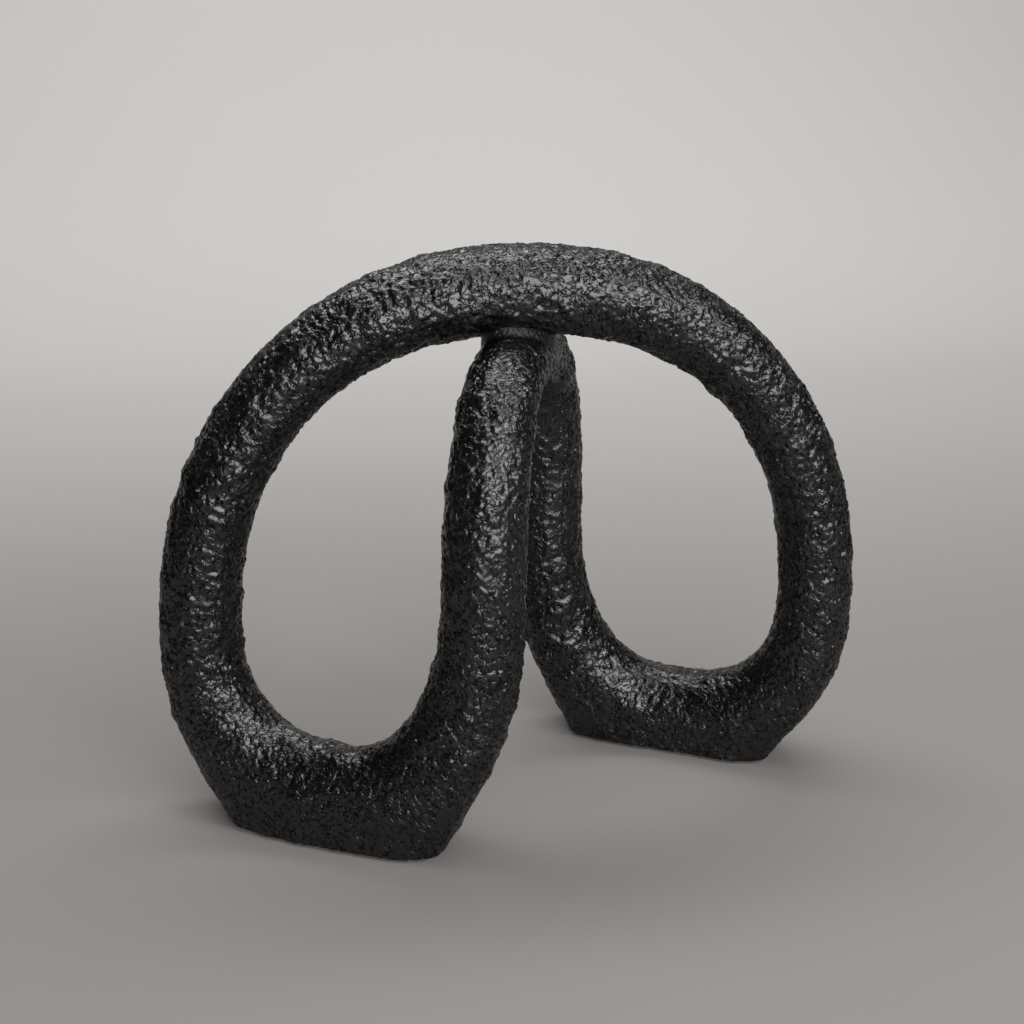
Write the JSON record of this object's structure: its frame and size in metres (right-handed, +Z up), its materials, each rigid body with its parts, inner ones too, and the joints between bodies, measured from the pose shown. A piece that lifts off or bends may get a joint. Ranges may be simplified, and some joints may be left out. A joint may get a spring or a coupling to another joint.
{
  "type": "abstract resin loop sculpture",
  "caption": "Black hammered-resin table ornament: an endless tube folded into an outer arch and an inner arch bonded under it, standing on flat-based loop feet with felt pads.",
  "frame": {"origin": "on the table under the crossing of the two arches, halfway between the feet", "axes": "+Z up, +X along the outer arch from the front foot to the rear foot, +Y from the front to the back"},
  "size_m": [0.2998, 0.1335, 0.2428],
  "materials": {
    "painted_resin": "hammered relief, satin black paint",
    "putty": "wiped smooth and painted with the rest",
    "steel": "plain drawn rod",
    "felt": "pressed felt"
  },
  "bodies": {
    "root": {"outer_arch": "painted_resin", "inner_arch": "painted_resin", "front_foot_loop": "painted_resin", "rear_foot_loop": "painted_resin", "crossing_collar": "putty", "crossing_dowel": "steel", "front_arch_dowel": "steel", "rear_arch_dowel": "steel", "front_leg_dowel": "steel", "rear_leg_dowel": "steel", "front_base_pad": "felt", "rear_base_pad": "felt"}
  },
  "joints": []
}
